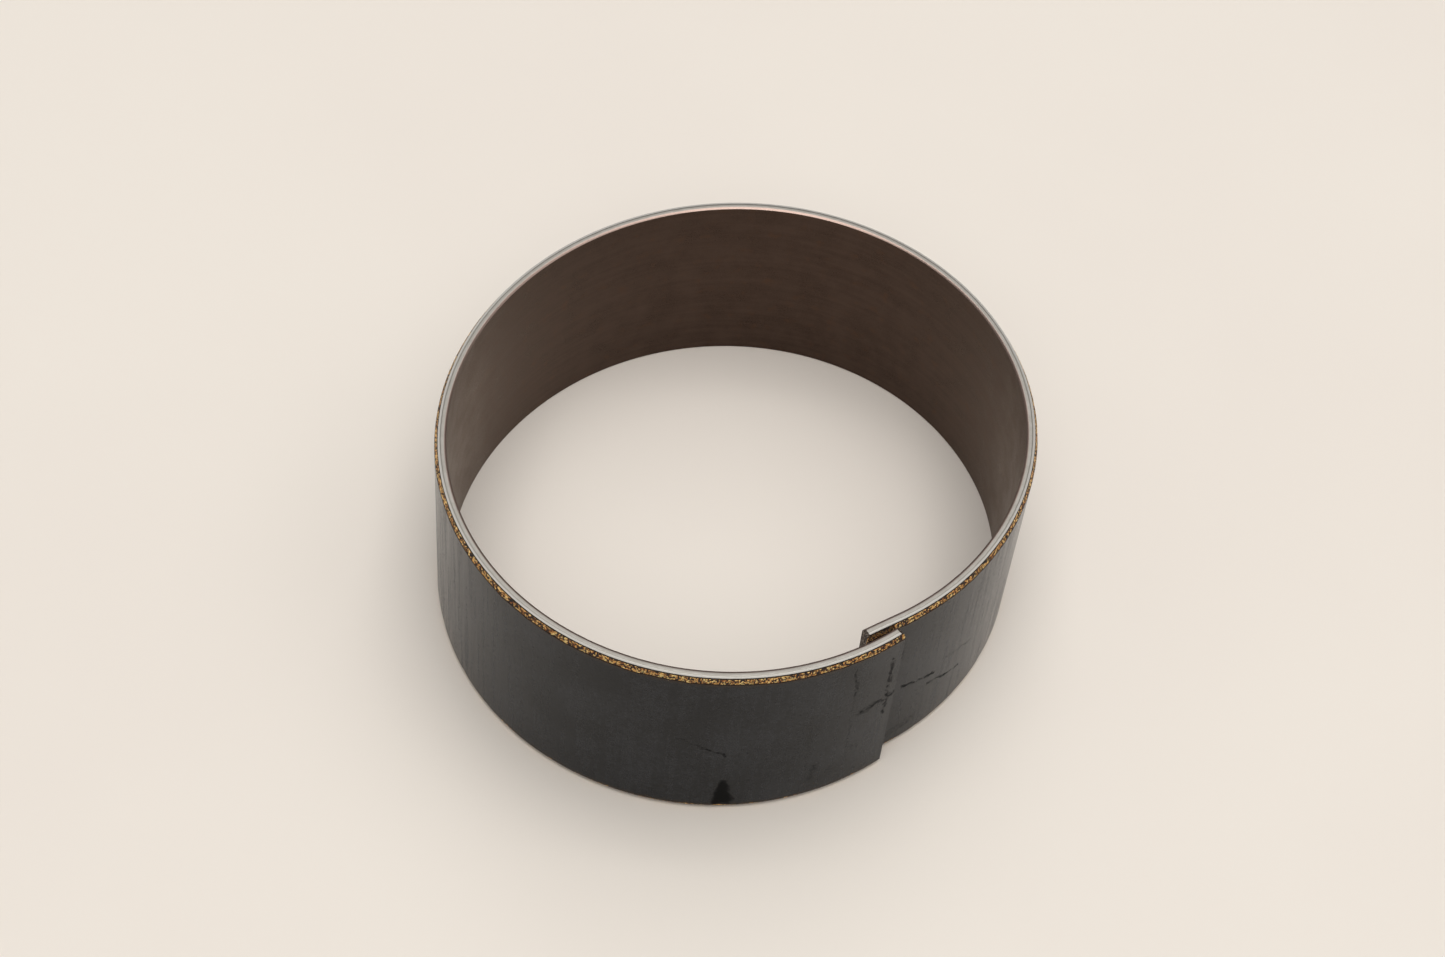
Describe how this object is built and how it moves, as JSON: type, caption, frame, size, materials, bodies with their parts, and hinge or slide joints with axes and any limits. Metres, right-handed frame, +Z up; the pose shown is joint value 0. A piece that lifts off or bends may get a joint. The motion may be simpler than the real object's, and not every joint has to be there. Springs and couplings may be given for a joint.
{
  "type": "lapped split sleeve bushing",
  "caption": "Split slide bushing wrapped from a steel strip with a sintered bronze layer and a dark sliding overlay outside; its two ends lap and it springs open to fit.",
  "frame": {"origin": "middle of the ring's outline at the lower rim, on the surface it stands on", "axes": "+Z up along the bore, to the upper rim; +X to the right and +Y away seen from in front, with the lap at the front right, 53 degrees clockwise of +X seen from above"},
  "size_m": [0.0502, 0.0522, 0.0188],
  "materials": {
    "steel_backing": "cold rolled and brown-grey in the bore, bright turned rims",
    "sintered_bronze": "granular, bare on the lead-ins and the ends",
    "sliding_overlay": "dark satin, lightly scuffed"
  },
  "bodies": {
    "overlapping_half": {"steel_backing_overlapping": "steel_backing", "sintered_bronze_overlapping": "sintered_bronze", "sliding_overlay_overlapping": "sliding_overlay"},
    "tucked_half": {"steel_backing_tucked": "steel_backing", "sintered_bronze_tucked": "sintered_bronze", "sliding_overlay_tucked": "sliding_overlay"}
  },
  "joints": [
    {"name": "ring_spring", "type": "hinge", "parent": "overlapping_half", "child": "tucked_half", "pos_m": [-0.01354, 0.02055, 0.0094], "axis": [0, 0, 1], "range_deg": [-1, 11], "stiffness_Nm_per_rad": 3.2}
  ]
}
